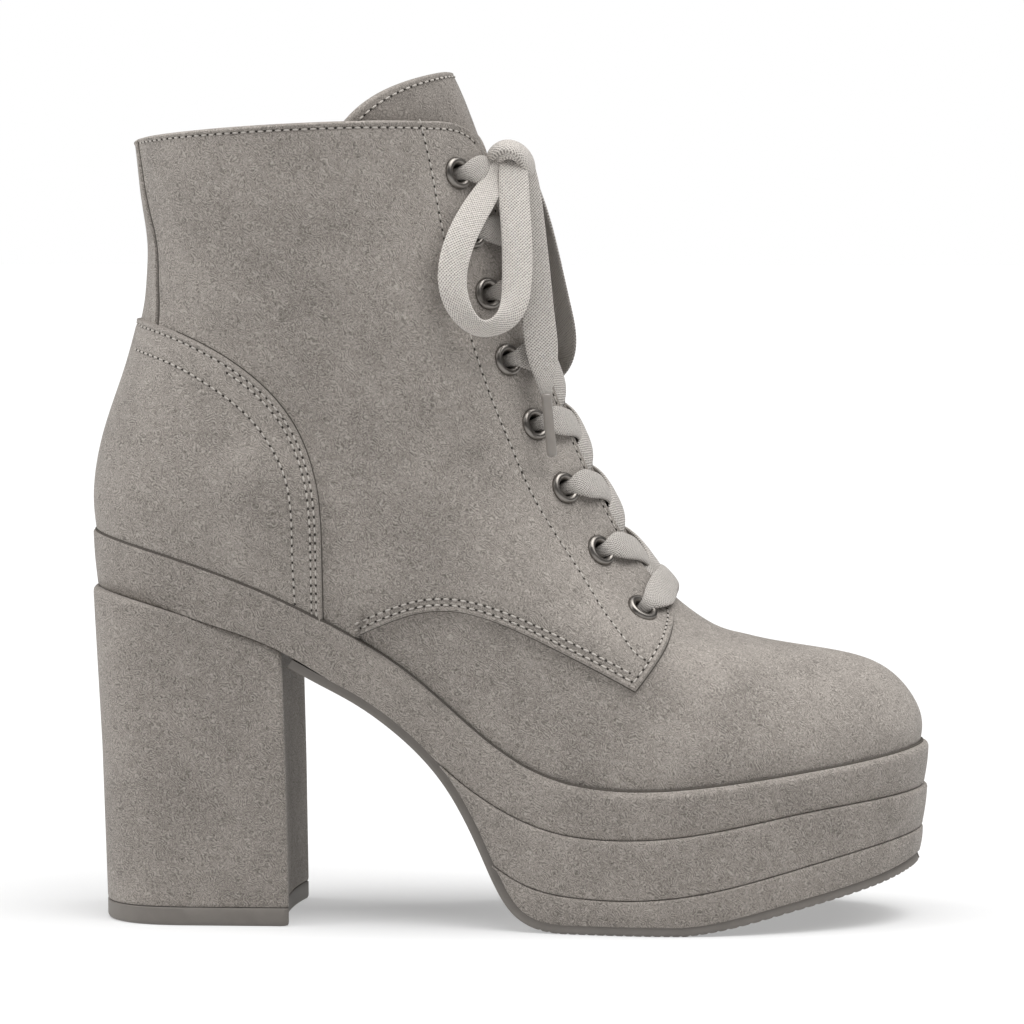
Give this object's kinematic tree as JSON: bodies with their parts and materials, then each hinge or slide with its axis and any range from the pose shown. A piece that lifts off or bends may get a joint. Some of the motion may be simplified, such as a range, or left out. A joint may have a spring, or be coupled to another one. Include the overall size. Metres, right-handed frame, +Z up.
{
  "type": "lace-up platform ankle boot",
  "caption": "Empty lace-up ankle boot for the right foot: hollow suede upper and tongue on a stepped platform sole with a tall block heel, flat lace tied in a bow.",
  "frame": {"origin": "on the floor under the middle of the boot's length and width", "axes": "+X to the toe, +Y to the inner side of the foot, +Z up from the floor"},
  "size_m": [0.2398, 0.0879, 0.2417],
  "materials": {
    "suede": "brushed grey-taupe microsuede, matte",
    "rubber": "dark taupe moulded rubber, matte",
    "lining": "smooth taupe lining cloth",
    "gunmetal": "dark gunmetal plating, satin",
    "lace": "flat woven lace, matte",
    "aglet": "smooth taupe plastic tip"
  },
  "bodies": {
    "root": {"upper": "suede", "quarter_lateral": "suede", "quarter_medial": "suede", "heel_counter": "suede", "backstay": "suede", "tongue": "suede", "rand": "suede", "platform_middle": "suede", "platform_base": "suede", "heel_block": "suede", "outsole": "rubber", "heel_top_piece": "rubber", "insole": "lining", "eyelet_lateral_1": "gunmetal", "eyelet_lateral_2": "gunmetal", "eyelet_lateral_3": "gunmetal", "eyelet_lateral_4": "gunmetal", "eyelet_lateral_5": "gunmetal", "eyelet_lateral_6": "gunmetal", "eyelet_lateral_7": "gunmetal", "eyelet_lateral_8": "gunmetal", "eyelet_medial_1": "gunmetal", "eyelet_medial_2": "gunmetal", "eyelet_medial_3": "gunmetal", "eyelet_medial_4": "gunmetal", "eyelet_medial_5": "gunmetal", "eyelet_medial_6": "gunmetal", "eyelet_medial_7": "gunmetal", "eyelet_medial_8": "gunmetal", "lace_crossings": "lace", "lace_knot": "lace", "lace_loop_lateral": "lace", "lace_loop_medial": "lace", "lace_end_lateral": "lace", "lace_end_medial": "lace", "aglet_lateral": "aglet", "aglet_medial": "aglet"}
  },
  "joints": []
}
